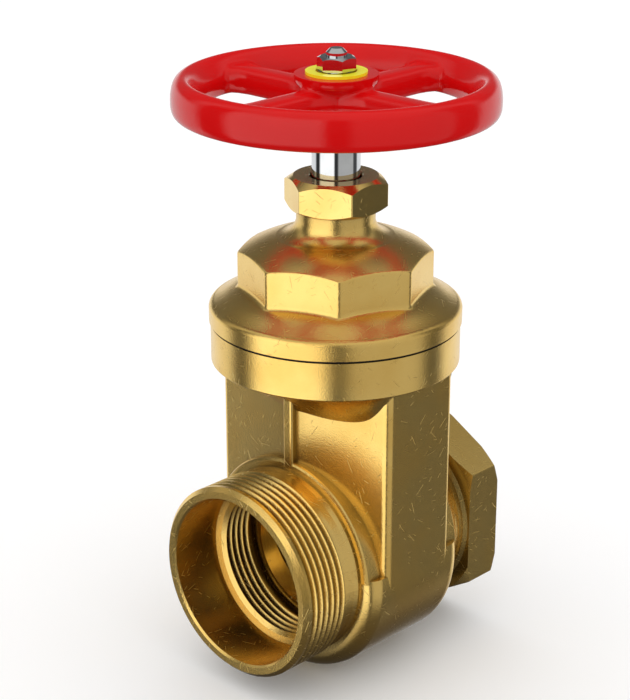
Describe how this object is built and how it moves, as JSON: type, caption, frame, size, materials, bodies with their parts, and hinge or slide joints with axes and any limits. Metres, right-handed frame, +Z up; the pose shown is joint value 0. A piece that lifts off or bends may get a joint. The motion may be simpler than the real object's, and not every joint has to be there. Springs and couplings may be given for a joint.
{
  "type": "gate valve",
  "caption": "Brass gate valve with a round red handwheel, an octagonal screwed bonnet, a threaded male outlet and a hexagonal female inlet.",
  "frame": {"origin": "where the stem axis crosses the flow axis, in the middle of the port", "axes": "+X along the flow axis towards the hexagonal inlet, +Z up the stem towards the handwheel"},
  "size_m": [0.0954, 0.0954, 0.1898],
  "materials": {
    "forged_brass": "forged and lightly blasted, fine grain",
    "machined_brass": "turned, smooth",
    "chrome_plate": "polished plating",
    "red_enamel": "gloss enamel on a cast wheel",
    "yellow_paint": "printed sheet disc, left blank",
    "gasket": "compressed fibre",
    "ptfe": "moulded PTFE"
  },
  "bodies": {
    "root": {"body": "forged_brass", "bonnet": "forged_brass", "packing_nut": "machined_brass", "gland_follower": "machined_brass", "inlet_seat_ring": "machined_brass", "outlet_seat_ring": "machined_brass", "bonnet_gasket": "gasket", "lower_thrust_washer": "ptfe", "upper_thrust_washer": "ptfe", "packing_ring_1": "ptfe", "packing_ring_2": "ptfe", "packing_ring_3": "ptfe", "packing_ring_4": "ptfe"},
    "stem": {"stem": "chrome_plate", "handwheel": "red_enamel", "identification_disc": "yellow_paint", "spring_washer": "chrome_plate", "wheel_nut": "chrome_plate"},
    "wedge": {"wedge": "machined_brass", "wedge_nut": "machined_brass"}
  },
  "joints": [
    {"name": "stem_turn", "type": "hinge", "parent": "root", "child": "stem", "pos_m": [0, 0, 0.1], "axis": [0, 0, 1], "range_deg": [-5040, 0]},
    {"name": "wedge_lift", "type": "slide", "parent": "root", "child": "wedge", "axis": [0, 0, 1], "range_m": [-0.042, 0]}
  ],
  "couplings": [
    {"joint": "wedge_lift", "follows": "stem_turn", "m_per_rad": 0.00047746}
  ]
}
